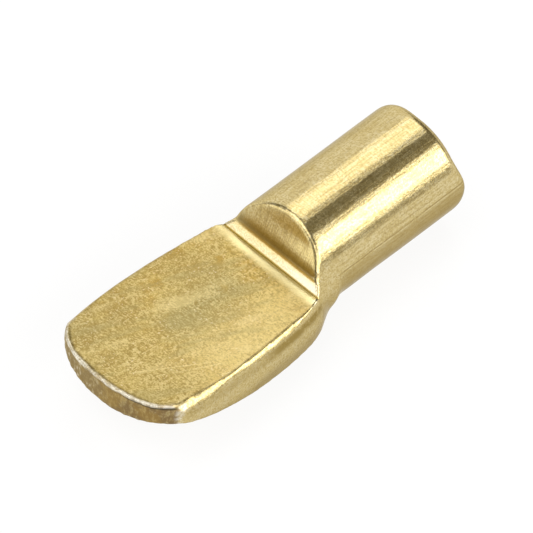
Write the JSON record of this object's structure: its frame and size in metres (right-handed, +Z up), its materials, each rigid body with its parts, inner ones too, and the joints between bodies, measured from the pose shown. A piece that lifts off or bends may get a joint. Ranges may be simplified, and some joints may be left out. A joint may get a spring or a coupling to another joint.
{
  "type": "shelf support pin",
  "caption": "Spoon-type shelf support pin: a round pin for a drilled cabinet hole, with a leaning shoulder and a flattened, upward-facing blade that carries the shelf.",
  "frame": {"origin": "on the pin's axis, at the top of the leaning shoulder, where the pin becomes fully round", "axes": "+X along the pin towards its free end, +Z up out of the shelf seat, Y across the blade"},
  "size_m": [0.0229, 0.0088, 0.0064],
  "materials": {
    "brass_plate": "satin brass plating over pressed steel, mottled and finely scratched"
  },
  "bodies": {
    "root": {"shelf_pin": "brass_plate"}
  },
  "joints": []
}
